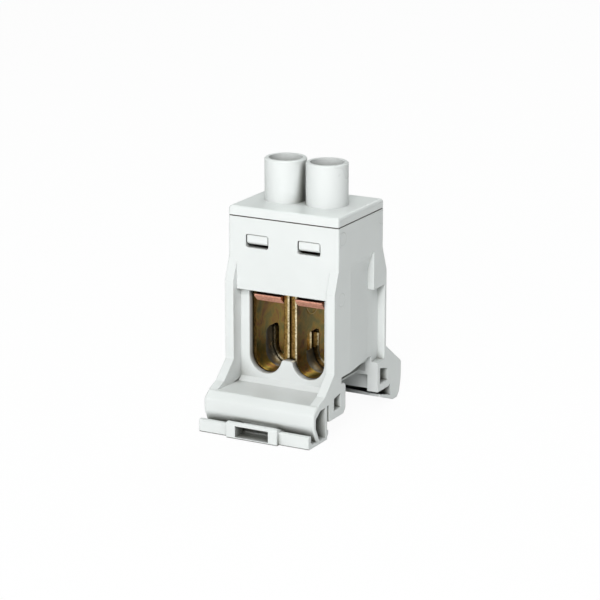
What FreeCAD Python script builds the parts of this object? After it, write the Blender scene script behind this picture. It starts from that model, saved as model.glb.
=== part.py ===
import FreeCAD, Part
import Sketcher
import os

# Main-branch terminal: clip-on rail foot, two lifting clamp cages, one contact bar.
# Millimetres. X runs along the rail, Y along the conductors, Z up from the foot.
# The sketches count Y from the middle of the upper body, and each body is then moved
# so that the frame's origin is the middle of the terminal's footprint.

os.makedirs("parts", exist_ok=True)
doc = FreeCAD.newDocument("main_branch_terminal")
sheet = doc.addObject("Spreadsheet::Sheet", "Sizes")

SHEET_ROWS = [
    # rail and foot
    ("rail_width", 35.0, "width of the mounting rail"),
    ("rail_play", 0.3, "play of the rail in the foot"),
    ("seat_height", 4.3, "rail seat above the foot's underside"),
    ("catch_wall_y", 18.2, "front stop of the rail, from the middle"),
    # body
    ("panel_rise", 1.5, "lower edge of the upper front panel above the contact bar"),
    ("lift_room", 2.4, "room left above a fully lifted cage"),
    ("panel_thickness", 1.85, "thickness of the lower front panel"),
    ("shell_thickness", 1.6, "thickness of the upper wall"),
    ("side_thickness", 3.2, "thickness of the upper side wall"),
    ("room_play", 0.68, "upper room beyond the clamp wells, each side"),
    ("ledge_thickness", 0.3, "ledge above the conductor windows"),
    ("seam_chamfer", 0.2, "chamfer along the seam, above and below"),
    ("wall_end_height", 14.0, "lower edge of the side wall"),
    ("floor_thickness", 1.35, "clamp floor below a cage well"),
    ("floor_chamfer_x", 3.4, "chamfer of the clamp floor, width"),
    ("floor_chamfer_z", 4.2, "chamfer of the clamp floor, height"),
    ("plate_thickness", 3.0, "thickness of a side plate of the foot"),
    ("corner_radius", 0.6, "upright corners of the upper body"),
    # flanges beside the conductor entries
    ("flange_width", 2.4, "width of a front flange"),
    ("web_overlap", 0.4, "how far the lower panel runs into a flange"),
    ("rear_flange_width", 3.2, "width of a rear flange"),
    ("flange_proud", 1.9, "how far a flange stands out of the body"),
    ("flange_drop", 11.5, "start of a flange below the seam"),
    ("flange_taper", 5.1, "height over which a flange grows to its full depth"),
    ("flange_knee", 15.7, "height where a flange turns into the fin"),
    ("fin_y", 19.4, "knee of the fin, from the middle"),
    ("fin_z", 11.2, "knee of the fin, height"),
    ("shelf_height", 9.3, "shelf in front of the opening"),
    ("shelf_rise", 0.1, "rise of the shelf before its cove"),
    ("cove_run", 1.4, "cove between shelf and panel, length"),
    ("cove_rise", 1.2, "cove between shelf and panel, height"),
    # front roll and pull bar
    ("ridge_y", 23.4, "ridge of the roll, from the middle"),
    ("ridge_z", 9.9, "ridge of the roll, height"),
    ("roll_y", 25.5, "front of the roll, from the middle"),
    ("roll_low_y", 24.4, "roll where it turns under, from the middle"),
    ("roll_low_z", 2.6, "roll where it turns under, height"),
    ("roll_foot_y", 23.1, "lower end of the roll, from the middle"),
    ("roll_low_rise", 2.2, "height of the roll's lower bend"),
    ("ridge_drop", 1.7, "height of the roll's upper bend"),
    ("ridge_back_run", 1.4, "rear end of the ridge, from the catch wall"),
    ("ridge_back_drop", 0.2, "rear end of the ridge below the ridge"),
    ("ridge_round", 1.2, "rounding of the ridge"),
    ("roll_upper_round", 1.6, "rounding of the upper bend"),
    ("roll_lower_round", 2.0, "rounding of the lower bend"),
    ("roll_wall", 0.6, "overlap of the side walls with the roll"),
    ("roll_end_chamfer", 0.4, "chamfer around the ends of the roll"),
    ("flex_gap", 1.0, "gap behind the catch wall"),
    ("catch_depth", 0.6, "how far the rail catch stands out"),
    ("catch_low", 0.7, "lower side of the rail catch"),
    ("catch_high", 2.3, "upper side of the rail catch"),
    ("saddle_end_y", 8.3, "rear end of the front saddle"),
    ("saddle_bevel", 1.2, "bevel below the rear end of the saddle"),
    ("saddle_crest_run", 0.8, "bevel above it, length"),
    ("saddle_crest_drop", 0.9, "bevel above it, height"),
    ("saddle_top_run", 3.4, "length of the saddle's upper part"),
    ("saddle_round", 0.7, "rounding of the saddle's rear edges"),
    ("ledge_height", 12.3, "top of the side plates"),
    ("bar_y", 28.0, "front of the pull bar, from the middle"),
    ("bar_height", 3.3, "height of the pull bar"),
    ("bar_thickness", 1.3, "thickness of the pull bar"),
    ("bar_floor", 1.0, "thickness of the web behind the pull bar"),
    ("bar_root_drop", 0.2, "web thinner at the roll"),
    ("bar_cove", 0.6, "corner between the web and the pull bar"),
    ("bar_edge", 0.3, "broken edges of the pull bar"),
    ("bar_root_run", 0.6, "how far the web runs into the roll"),
    ("grip_width", 14.4, "width of the block in the pull bar"),
    ("grip_y", 29.0, "front of the block, from the middle"),
    ("grip_height", 4.2, "height of the block"),
    ("grip_bevel", 1.2, "slope of the block's top"),
    ("grip_edge", 0.4, "broken upper edge of the block"),
    ("grip_root_run", 0.6, "how far the block runs into the roll"),
    ("grip_slot_width", 9.4, "screwdriver slot, width"),
    ("grip_slot_height", 2.9, "screwdriver slot, height"),
    ("grip_slot_depth", 4.6, "screwdriver slot, depth"),
    ("grip_slot_floor", 0.5, "floor below the screwdriver slot"),
    # rear foot
    ("hook_y", 9.8, "front face of the rear side plates"),
    ("hook_inner_y", 12.0, "inner wall of the rear foot"),
    ("hook_back_y", 23.4, "back of the rear foot"),
    ("hook_top_y", 22.6, "upper rear edge of the rear foot"),
    ("lip_tip_y", 11.3, "tip of the fixed hook"),
    ("lip_tip_z", 2.7, "underside of the hook's tip"),
    ("lip_tip_thickness", 0.7, "thickness of the hook's tip"),
    ("lip_root_z", 1.7, "upper side of the hook at its root"),
    ("lip_notch_y", 15.2, "hook's front edge in the middle"),
    ("lip_notch_half", 4.0, "half length of the middle of that edge"),
    ("lip_base_run", 1.6, "underside of the hook before the foot's floor"),
    ("seat_bevel_run", 1.0, "bevel behind the rail seat, length"),
    ("seat_bevel_rise", 0.5, "bevel behind the rail seat, height"),
    ("toe_run", 2.2, "rear end of the foot's floor, from the back"),
    ("toe_inset", 0.9, "toe of the foot, from the back"),
    ("toe_rise", 1.4, "toe of the foot, height"),
    ("back_bevel", 0.7, "bends at both ends of the foot's back"),
    ("toe_round", 1.5, "rounding of the toe"),
    ("back_round", 2.5, "rounding below the foot's back"),
    ("hollow_drop", 0.2, "hollow of the rear foot below the rail seat"),
    # recesses in the side plates
    ("hook_core_depth", 2.4, "depth of the core in each rear plate"),
    ("hook_core_near", 1.4, "front end of that core, from the plate's front"),
    ("hook_core_far", 5.7, "rear end of that core"),
    ("hook_core_low", 1.9, "underside of that core above the rail seat"),
    ("hook_core_front", 6.2, "top of that core at its front end"),
    ("hook_core_rear", 5.1, "top of that core at its rear end"),
    ("saddle_core_depth", 6.0, "depth of the core in each end of the saddle"),
    ("saddle_core_near", 2.7, "rear end of that core, from the saddle's end"),
    ("saddle_core_far", 6.2, "front end of that core"),
    ("saddle_core_low", 2.1, "underside of that core above the rail seat"),
    ("saddle_core_rear", 5.8, "top of that core at its rear end"),
    ("saddle_core_front", 5.2, "top of that core at its front end"),
    ("roll_core_depth", 6.0, "depth of the core in each end of the roll"),
    ("roll_core_wall", 1.0, "wall between that core and the rail"),
    ("roll_core_low", 0.8, "underside of that core"),
    ("roll_core_cover", 0.2, "top of that core below the clamp floor's underside"),
    ("roll_core_run", 1.6, "upper front corner of that core behind the ridge"),
    ("roll_core_drop", 3.0, "front corner of that core below the ridge"),
    ("roll_core_skin", 1.3, "wall of the roll in front of that core"),
    ("roll_core_rise", 1.8, "lower front corner of that core"),
    ("roll_core_foot", 0.9, "wall at the foot of that core"),
    # grip recess in the side walls
    ("scoop_y", 5.6, "front end of the grip recess"),
    ("scoop_flap_y", 7.2, "front edge of the flap behind it"),
    ("scoop_back_y", 13.6, "front face of the rear flange"),
    ("scoop_drop", 10.15, "top of the grip recess below the seam"),
    ("scoop_cove", 5.0, "height of the curved top of the grip recess"),
    ("scoop_start", 0.02, "depth of the grip recess at its front end"),
    ("scoop_flap_z", 32.4, "lower edge of the flap"),
    ("scoop_slope", 0.135, "depth of the grip recess per length"),
    # clamps
    ("clamp_pitch", 11.8, "distance of the two clamping axes"),
    ("cage_inside", 7.94, "inner width of a clamp cage"),
    ("cage_wall", 1.7, "thickness of the cage strap"),
    ("cage_depth", 16.9, "depth of a cage along the conductor"),
    ("cage_floor_z", 11.9, "inner bottom of a lowered cage"),
    ("cage_head_gap", 0.6, "cage top above the contact bar"),
    ("cage_slot_width", 7.0, "width of the slot around the bottom"),
    ("cage_slot_top", 21.7, "top of that slot"),
    ("cage_slot_radius", 1.6, "corner radius of that slot"),
    ("cage_play", 0.15, "play of a cage in its well"),
    ("cage_end_play", 0.2, "play between a cage and the lower panels"),
    ("cage_lift", 14.0, "travel of a cage"),
    ("window_margin", 0.67, "window radius over the cage's inner radius"),
    ("window_shift", 0.2, "window centre outside the clamping axis"),
    ("window_rise", 0.65, "window centre above the cage's centre"),
    ("hump_drop", 0.47, "web between the windows below the window centres"),
    ("hump_radius", 0.9, "rounding of the web between the windows"),
    # contact bar
    ("bar_low", 30.3, "underside of the contact bar"),
    ("strip_thickness", 2.1, "thickness of the copper strip"),
    ("tongue_play", 0.1, "play of a tongue in its cage"),
    ("tongue_front_y", 10.0, "front end of the tongues"),
    ("tongue_bevel_run", 1.8, "bevel below the front end of a tongue, length"),
    ("tongue_bevel_rise", 1.7, "bevel below the front end of a tongue, height"),
    ("tongue_round", 0.35, "rounded front corners of a tongue"),
    ("bend_radius", 1.5, "outer radius of the bend below the yoke"),
    ("yoke_gap", 0.25, "gap between the cages and the upright yoke"),
    ("yoke_play", 0.1, "gap between the yoke and the rear wall"),
    ("yoke_side_play", 0.2, "gap between the yoke and the side walls"),
    ("yoke_height", 7.8, "height of the yoke above the tongues"),
    # screws
    ("screw_radius", 3.0, "radius of the clamping screw"),
    ("thread_play", 0.05, "radial play of the screw in the cage"),
    ("tip_gap", 0.05, "gap of the screw's tip to the tongue"),
    ("tip_chamfer", 0.8, "chamfer of the screw's tip"),
    ("head_lift", 0.1, "underside of the screw head above the seam"),
    ("head_height", 5.5, "height of the screw head"),
    ("head_play", 0.1, "radial play of the head in its tube"),
    ("head_chamfer", 0.4, "chamfer of the screw head"),
    ("head_slot_width", 1.4, "width of the driver slot"),
    ("head_slot_depth", 2.4, "depth of the driver slot"),
    # cover
    ("cover_thickness", 2.5, "thickness of the cover"),
    ("cover_radius", 0.9, "rounding of the cover's upper edges"),
    ("tube_radius", 5.4, "outer radius of a driver tube"),
    ("tube_rim_chamfer", 0.3, "chamfer of a tube's upper rim"),
    ("tube_bore", 4.3, "inner radius of a driver tube"),
    ("tube_height", 10.9, "height of a tube above the cover"),
    ("guide_height", 6.8, "depth of the driver guide in a tube"),
    ("keeper_radius", 3.6, "radius of the hole that keeps the screw in"),
    ("keeper_gap", 0.2, "gap between the screw head and its keeper"),
    ("rim_height", 1.5, "height of the locating rim"),
    ("rim_thickness", 1.2, "thickness of the locating rim"),
    ("rim_play", 0.1, "play of the rim in the body"),
    ("latch_pitch", 14.7, "distance of the latch windows"),
    ("latch_width", 6.45, "width of a latch window"),
    ("latch_drop", 4.35, "upper edge of a latch window below the seam"),
    ("latch_height", 3.45, "height of a latch window"),
    ("latch_round", 0.6, "corner radius of a latch window"),
    ("latch_play", 0.3, "side play of a barb in its window"),
    ("barb_gap", 0.1, "gap above a barb in its window"),
    ("barb_height", 2.5, "height of a barb"),
    ("barb_depth", 1.5, "depth of a barb"),
    ("barb_lead", 0.5, "lead-in of a barb"),
    ("barb_edge", 0.3, "broken upper edge of a barb"),
    ("finger_thickness", 1.2, "thickness of a snap finger"),
]


class Size:
    """A length and the sheet expression that it comes from."""

    def __init__(self, value, text):
        self.value = value
        self.text = text

    def __add__(self, other):
        other = as_size(other)
        return Size(self.value + other.value, "(%s + %s)" % (self.text, other.text))

    def __sub__(self, other):
        other = as_size(other)
        return Size(self.value - other.value, "(%s - %s)" % (self.text, other.text))

    def __mul__(self, factor):
        factor = as_size(factor)
        return Size(self.value * factor.value, "(%s * %s)" % (self.text, factor.text))

    def __truediv__(self, factor):
        factor = as_size(factor)
        return Size(self.value / factor.value, "(%s / %s)" % (self.text, factor.text))

    def __neg__(self):
        return Size(-self.value, "(0 - %s)" % self.text)


def as_size(number):
    if isinstance(number, Size):
        return number
    return Size(float(number), repr(float(number)))


S = {}
for row, (alias, value, note) in enumerate(SHEET_ROWS, start=1):
    sheet.set("A%d" % row, note)
    sheet.set("B%d" % row, repr(value))
    sheet.setAlias("B%d" % row, alias)
    S[alias] = Size(value, "Sizes." + alias)
doc.recompute()

# Values worked out from the sheet, shared by the parts that meet there.
well_y = S["cage_depth"] / 2 + S["cage_end_play"]
panel_y = well_y + S["panel_thickness"]
yoke_y = S["cage_depth"] / 2 + S["yoke_gap"]
cavity_y = yoke_y + S["strip_thickness"] + S["yoke_play"]
half_depth = cavity_y + S["shell_thickness"]
body_depth = half_depth * 2
flange_y = half_depth + S["flange_proud"]
rail_back_y = S["rail_width"] + S["rail_play"] - S["catch_wall_y"]
clamp_x = S["clamp_pitch"] / 2
cage_inner = S["cage_inside"] / 2
cage_outer = cage_inner + S["cage_wall"]
cage_centre_z = S["cage_floor_z"] + cage_inner
tongue_top = S["bar_low"] + S["strip_thickness"]
cage_head_z = tongue_top + S["cage_head_gap"]
cage_top_z = cage_head_z + S["cage_wall"] * 2
well_radius = cage_outer + S["cage_play"]
well_half = clamp_x + well_radius
window_z = cage_centre_z + S["window_rise"]
window_radius = cage_inner + S["window_margin"]
window_x = clamp_x + S["window_shift"]
window_half = window_x + window_radius
hump_z = window_z - S["hump_drop"]
panel_height = tongue_top + S["panel_rise"]
seam_height = cage_top_z + S["cage_lift"] + S["lift_room"]
flange_top = seam_height - S["flange_drop"]
flange_full = flange_top - S["flange_taper"]
cavity_low = panel_height + S["ledge_thickness"]
cavity_x = well_half + S["room_play"]
half_width = cavity_x + S["side_thickness"]
body_width = half_width * 2
plate_inner = half_width - S["plate_thickness"]
base_height = S["cage_floor_z"] - S["cage_wall"] - S["cage_play"] - S["floor_thickness"]
tongue_half = cage_inner - S["tongue_play"]
yoke_top = cavity_low + S["yoke_height"]
scoop_top = seam_height - S["scoop_drop"]
latch_high = seam_height - S["latch_drop"]
latch_low = latch_high - S["latch_height"]
head_low = seam_height + S["head_lift"]
cover_top = seam_height + S["cover_thickness"]
tube_top = cover_top + S["tube_height"]
head_radius = S["tube_bore"] - S["head_play"]
latch_x = S["latch_pitch"] / 2
centre_y = (S["grip_y"] - S["hook_back_y"]) / 2
over = 2.0
join = 0.3


# Helpers for bodies, sketches and features.

def new_body(name):
    body = doc.addObject("PartDesign::Body", name)
    body.Label = name
    return body


def origin_plane(body, role):
    for feature in body.Origin.OriginFeatures:
        if feature.Role == role:
            return feature
    raise ValueError(role)


def bind(feature, prop, size):
    size = as_size(size)
    feature.setExpression(prop, size.text)


def place_sketch(body, label, plane, offset):
    sketch = body.newObject("Sketcher::SketchObject", label)
    sketch.AttachmentSupport = [(origin_plane(body, plane), "")]
    sketch.MapMode = "FlatFace"
    offset = as_size(offset)
    if offset.value != 0:
        sketch.AttachmentOffset = FreeCAD.Placement(
            FreeCAD.Vector(0, 0, offset.value), FreeCAD.Rotation())
        sketch.setExpression("AttachmentOffset.Base.z", offset.text)
    return sketch


def pin_point(sketch, geometry, position, point, tag):
    across = as_size(point[0])
    along = as_size(point[1])
    for kind, size, axis in (("DistanceX", across, "x"), ("DistanceY", along, "y")):
        index = sketch.addConstraint(
            Sketcher.Constraint(kind, -1, 1, geometry, position, size.value))
        name = axis + tag
        sketch.renameConstraint(index, name)
        sketch.setExpression("Constraints." + name, size.text)


def draw(body, label, plane, offset, outlines=(), circles=()):
    sketch = place_sketch(body, label, plane, offset)
    for number, points in enumerate(outlines):
        values = []
        for point in points:
            across, along = as_size(point[0]), as_size(point[1])
            values.append(FreeCAD.Vector(across.value, along.value, 0))
        first = sketch.GeometryCount
        count = len(points)
        for i in range(count):
            line = Part.LineSegment(values[i], values[(i + 1) % count])
            sketch.addGeometry(line, False)
        for i in range(count):
            after = first + (i + 1) % count
            sketch.addConstraint(Sketcher.Constraint("Coincident", first + i, 2, after, 1))
        for i in range(count):
            pin_point(sketch, first + i, 1, points[i], "%d_%d" % (number, i))
    for number, (across, along, radius) in enumerate(circles):
        across, along, radius = as_size(across), as_size(along), as_size(radius)
        centre = FreeCAD.Vector(across.value, along.value, 0)
        normal = FreeCAD.Vector(0, 0, 1)
        index = sketch.addGeometry(Part.Circle(centre, normal, radius.value), False)
        pin_point(sketch, index, 3, (across, along), "c%d" % number)
        ring = sketch.addConstraint(Sketcher.Constraint("Radius", index, radius.value))
        sketch.renameConstraint(ring, "r%d" % number)
        sketch.setExpression("Constraints.r%d" % number, radius.text)
    return sketch


def box_outline(low_a, high_a, low_b, high_b):
    return [(low_a, low_b), (high_a, low_b), (high_a, high_b), (low_a, high_b)]


def mirror_outline(points):
    return [(-as_size(across), along) for across, along in reversed(points)]


def extrude(body, kind, label, sketch, length, symmetric=False, reverse=False):
    before = body.Tip.Shape.Volume if body.Tip is not None else 0.0
    feature = body.newObject(kind, label)
    feature.Profile = sketch
    bind(feature, "Length", length)
    if symmetric:
        feature.SideType = "Symmetric"
    feature.Reversed = reverse
    sketch.Visibility = False
    doc.recompute()
    change = feature.Shape.Volume - before
    wrong = change <= 0 if kind.endswith("Pad") else change >= 0
    if wrong:
        raise ValueError("%s changes nothing" % label)
    return feature


def pad(body, label, sketch, length, symmetric=False, reverse=False):
    return extrude(body, "PartDesign::Pad", label, sketch, length, symmetric, reverse)


def pocket(body, label, sketch, length, symmetric=False, reverse=False):
    return extrude(body, "PartDesign::Pocket", label, sketch, length, symmetric, reverse)


def carve_between(body, label, first, second):
    before = body.Tip.Shape.Volume
    feature = body.newObject("PartDesign::SubtractiveLoft", label)
    feature.Profile = first
    feature.Sections = [second]
    feature.Ruled = True
    first.Visibility = False
    second.Visibility = False
    doc.recompute()
    if feature.Shape.Volume >= before:
        raise ValueError("%s changes nothing" % label)
    return feature


def revolve(body, label, sketch, axis_role):
    feature = body.newObject("PartDesign::Revolution", label)
    feature.Profile = sketch
    feature.ReferenceAxis = (origin_plane(body, axis_role), [""])
    feature.Angle = 360.0
    sketch.Visibility = False
    doc.recompute()
    return feature


def edge_names(shape, test):
    names = []
    for number, edge in enumerate(shape.Edges, start=1):
        if test(edge):
            names.append("Edge%d" % number)
    return names


def near(a, b, slack=0.02):
    return abs(a - b) < slack


def along_x_at(y, z):
    y, z = as_size(y).value, as_size(z).value

    def test(edge):
        box = edge.BoundBox
        flat = box.YLength < 0.02 and box.ZLength < 0.02
        return flat and near(box.Center.y, y) and near(box.Center.z, z)
    return test


def dress(body, kind, label, names, size, prop):
    if not names:
        raise ValueError("%s finds no edge" % label)
    earlier = body.Tip
    feature = body.newObject(kind, label)
    feature.Base = (earlier, names)
    bind(feature, prop, size)
    body.Tip = feature
    doc.recompute()
    if feature.Shape.isNull() or "Invalid" in feature.State:
        raise ValueError("%s fails" % label)
    return feature


def fillet(body, label, test, radius):
    names = edge_names(body.Tip.Shape, test)
    return dress(body, "PartDesign::Fillet", label, names, radius, "Radius")


def chamfer(body, label, test, size):
    names = edge_names(body.Tip.Shape, test)
    return dress(body, "PartDesign::Chamfer", label, names, size, "Size")


# Housing: body, flanges, clamp wells, front roll with catch, pull bar and rear hook.

def housing_outline():
    return [
        (-half_depth, flange_top),
        (-flange_y, flange_full),
        (-flange_y, S["flange_knee"]),
        (-S["fin_y"], S["fin_z"]),
        (-S["ridge_y"] + S["roll_wall"], S["ridge_z"]),
        (-S["ridge_y"] + S["roll_wall"], base_height),
        (-panel_y, base_height),
        (-panel_y, S["wall_end_height"]),
        (S["hook_y"], S["wall_end_height"]),
        (S["hook_y"], base_height),
        (S["hook_top_y"], base_height),
        (S["hook_top_y"], S["ridge_z"]),
        (flange_y, S["flange_knee"]),
        (flange_y, flange_full),
        (half_depth, flange_top),
    ]


def add_saddle(body):
    front = -S["catch_wall_y"] + S["flex_gap"]
    rear = -S["saddle_end_y"]
    upper = rear - S["saddle_top_run"]
    saddle = [
        (front, base_height + join),
        (front, S["seat_height"]),
        (rear - S["saddle_bevel"], S["seat_height"]),
        (rear, S["seat_height"] + S["saddle_bevel"]),
        (rear, S["ledge_height"] - S["saddle_crest_drop"]),
        (rear - S["saddle_crest_run"], S["ledge_height"]),
        (upper, S["ledge_height"]),
        (upper, base_height + join),
    ]
    pad(body, "front_saddle", draw(body, "front_saddle_profile", "YZ_Plane", 0, [saddle]),
        body_width, symmetric=True)
    for number, (y, z) in enumerate(saddle[2:6]):
        fillet(body, "saddle_round_%d" % number, along_x_at(y, z), S["saddle_round"])


def add_rear_foot(body):
    back = S["hook_back_y"]
    toe = (back - S["toe_inset"], S["toe_rise"])
    low_back = (back, S["seat_height"] + S["back_bevel"])
    hook = [
        (S["hook_y"], S["ledge_height"]),
        (S["hook_y"], S["seat_height"]),
        (rail_back_y - S["seat_bevel_run"], S["seat_height"]),
        (rail_back_y, S["seat_height"] + S["seat_bevel_rise"]),
        (rail_back_y, S["lip_root_z"]),
        (S["lip_tip_y"], S["lip_tip_z"] + S["lip_tip_thickness"]),
        (S["lip_tip_y"], S["lip_tip_z"]),
        (rail_back_y + S["lip_base_run"], 0.0),
        (back - S["toe_run"], 0.0),
        toe,
        low_back,
        (back, S["ridge_z"] - S["back_bevel"]),
        (S["hook_top_y"], S["ridge_z"]),
        (flange_y, S["ledge_height"]),
    ]
    pad(body, "rear_foot", draw(body, "rear_foot_profile", "YZ_Plane", 0, [hook]),
        body_width, symmetric=True)
    fillet(body, "toe_round", along_x_at(*toe), S["toe_round"])
    fillet(body, "back_round", along_x_at(*low_back), S["back_round"])


def add_front_roll(body):
    wall = -S["catch_wall_y"]
    lower_bend = (-S["roll_y"], S["roll_low_z"] + S["roll_low_rise"])
    upper_bend = (-S["roll_y"], S["ridge_z"] - S["ridge_drop"])
    ridge = (-S["ridge_y"], S["ridge_z"])
    roll = [
        (wall, base_height + join),
        (wall, S["catch_high"]),
        (wall + S["catch_depth"], S["catch_high"]),
        (wall + S["catch_depth"], S["catch_low"] + S["catch_depth"]),
        (wall, S["catch_low"]),
        (wall, 0.0),
        (-S["roll_foot_y"], 0.0),
        (-S["roll_low_y"], S["roll_low_z"]),
        lower_bend,
        upper_bend,
        ridge,
        (wall - S["ridge_back_run"], S["ridge_z"] - S["ridge_back_drop"]),
    ]
    pad(body, "front_roll", draw(body, "front_roll_profile", "YZ_Plane", 0, [roll]),
        body_width, symmetric=True)
    fillet(body, "ridge_round", along_x_at(*ridge), S["ridge_round"])
    fillet(body, "roll_upper_round", along_x_at(*upper_bend), S["roll_upper_round"])
    fillet(body, "roll_lower_round", along_x_at(*lower_bend), S["roll_lower_round"])

    def roll_end(edge):
        box = edge.BoundBox
        at_end = box.XLength < 0.02 and near(abs(box.Center.x), half_width.value)
        return at_end and box.YMax < -S["roll_foot_y"].value - 0.05 and box.ZMin > 2.0
    chamfer(body, "roll_end_edge", roll_end, S["roll_end_chamfer"])


def cut_shelves(body):
    front = [
        (-S["roll_y"] - over, S["ridge_z"]),
        (-S["ridge_y"], S["ridge_z"]),
        (-panel_y - S["cove_run"], S["shelf_height"] + S["shelf_rise"]),
        (-panel_y, S["shelf_height"] + S["cove_rise"]),
        (-panel_y, seam_height),
        (-S["roll_y"] - over, seam_height),
    ]
    pocket(body, "front_shelf", draw(body, "front_shelf_profile", "YZ_Plane", 0, [front]),
           body_width - S["flange_width"] * 2, symmetric=True)
    rear = [
        (panel_y, seam_height),
        (panel_y, S["shelf_height"] + S["cove_rise"]),
        (panel_y + S["cove_run"], S["shelf_height"] + S["shelf_rise"]),
        (S["hook_top_y"], S["ridge_z"]),
        (S["hook_back_y"] + over, S["ridge_z"]),
        (S["hook_back_y"] + over, seam_height),
    ]
    pocket(body, "rear_shelf", draw(body, "rear_shelf_profile", "YZ_Plane", 0, [rear]),
           body_width - S["rear_flange_width"] * 2, symmetric=True)


def cut_wells(body):
    pair = [(-clamp_x, cage_centre_z, well_radius), (clamp_x, cage_centre_z, well_radius)]
    wells = draw(body, "well_bottoms", "XZ_Plane", 0, circles=pair)
    pocket(body, "well_floor", wells, well_y * 2, symmetric=True)
    upright = box_outline(-well_half, well_half, cage_centre_z, cavity_low)
    pocket(body, "well_walls", draw(body, "well_outline", "XZ_Plane", 0, [upright]),
           well_y * 2, symmetric=True)
    room = box_outline(-cavity_x, cavity_x, -cavity_y, cavity_y)
    pocket(body, "upper_room", draw(body, "upper_room_outline", "XY_Plane", cavity_low, [room]),
           seam_height - cavity_low + over, reverse=True)


def cut_windows(body):
    radius = window_radius
    pair = [(-window_x, window_z, radius), (window_x, window_z, radius)]
    rounds = draw(body, "window_bottoms", "XZ_Plane", 0, circles=pair)
    pocket(body, "window_floor", rounds, cavity_y * 2, symmetric=True)
    upright = box_outline(-window_half, window_half, window_z, cavity_low)
    pocket(body, "window_walls", draw(body, "window_outline", "XZ_Plane", 0, [upright]),
           cavity_y * 2, symmetric=True)
    crest = box_outline(-window_x, window_x, hump_z, window_z + 0.5)
    pocket(body, "window_crest", draw(body, "window_crest_outline", "XZ_Plane", 0, [crest]),
           cavity_y * 2, symmetric=True)
    right = box_outline(latch_x - S["latch_width"] / 2, latch_x + S["latch_width"] / 2,
                        latch_low, latch_high)
    latches = draw(body, "latch_outline", "XZ_Plane", 0, [right, mirror_outline(right)])
    pocket(body, "latch_windows", latches, body_depth + over, symmetric=True)
    latch_half = S["latch_width"].value / 2
    edges_x = (latch_x.value - latch_half, latch_x.value + latch_half)
    edges_z = (latch_low.value, latch_high.value)

    def corner(edge):
        box = edge.BoundBox
        thin = box.XLength < 0.02 and box.ZLength < 0.02 and box.YLength > 0.5
        across = any(near(abs(box.Center.x), x) for x in edges_x)
        return thin and across and any(near(box.Center.z, z) for z in edges_z)
    fillet(body, "latch_window_round", corner, S["latch_round"])


def cut_grip_recess(body):
    flap_depth = (S["scoop_y"] + S["scoop_flap_y"]) * S["scoop_slope"]
    back_depth = (S["scoop_y"] + S["scoop_back_y"]) * S["scoop_slope"] * 0.8
    shares = ((0.0, 0.0), (0.42, 0.25), (0.68, 0.5), (0.87, 0.75), (1.0, 1.0))

    def section(depth):
        low = S["wall_end_height"] - 0.5
        points = [(half_width + over, low), (half_width + over, scoop_top)]
        for inward, down in shares:
            points.append((half_width - depth * inward, scoop_top - S["scoop_cove"] * down))
        points.append((half_width - depth, low))
        return points
    for name, turned in (("right", False), ("left", True)):
        deep = section(flap_depth)
        shallow = section(S["scoop_start"])
        if turned:
            deep = mirror_outline(deep)
            shallow = mirror_outline(shallow)
        first = draw(body, name + "_grip_deep", "XZ_Plane", -S["scoop_flap_y"], [deep])
        second = draw(body, name + "_grip_shallow", "XZ_Plane", S["scoop_y"], [shallow])
        carve_between(body, name + "_grip_recess", first, second)
    lower = [
        (half_width - flap_depth, S["scoop_flap_y"]),
        (half_width + over, S["scoop_flap_y"]),
        (half_width + over, S["scoop_back_y"]),
        (half_width - back_depth, S["scoop_back_y"]),
    ]
    outline = draw(body, "flap_outline", "XY_Plane", S["scoop_flap_z"],
                   [lower, mirror_outline(lower)])
    pocket(body, "flap_undercut", outline, S["scoop_flap_z"] - S["ledge_height"])


def roll_core():
    wall = -S["catch_wall_y"] - S["roll_core_wall"]
    skin = -S["roll_y"] + S["roll_core_skin"]
    top = base_height - S["roll_core_cover"]
    return [
        (wall, S["roll_core_low"]),
        (wall, top),
        (-S["ridge_y"] + S["roll_core_run"], top),
        (skin, S["ridge_z"] - S["roll_core_drop"]),
        (skin, S["roll_low_z"] + S["roll_core_rise"]),
        (-S["roll_foot_y"] + S["roll_core_foot"], S["roll_core_low"]),
    ]


def saddle_core():
    near_y = -S["saddle_end_y"] - S["saddle_core_near"]
    far_y = -S["saddle_end_y"] - S["saddle_core_far"]
    low = S["seat_height"] + S["saddle_core_low"]
    return [
        (far_y, low),
        (near_y, low),
        (near_y, S["seat_height"] + S["saddle_core_rear"]),
        (far_y, S["seat_height"] + S["saddle_core_front"]),
    ]


def hook_core():
    near_y = S["hook_y"] + S["hook_core_near"]
    far_y = S["hook_y"] + S["hook_core_far"]
    low = S["seat_height"] + S["hook_core_low"]
    return [
        (near_y, low),
        (far_y, low),
        (far_y, S["seat_height"] + S["hook_core_rear"]),
        (near_y, S["seat_height"] + S["hook_core_front"]),
    ]


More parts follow.
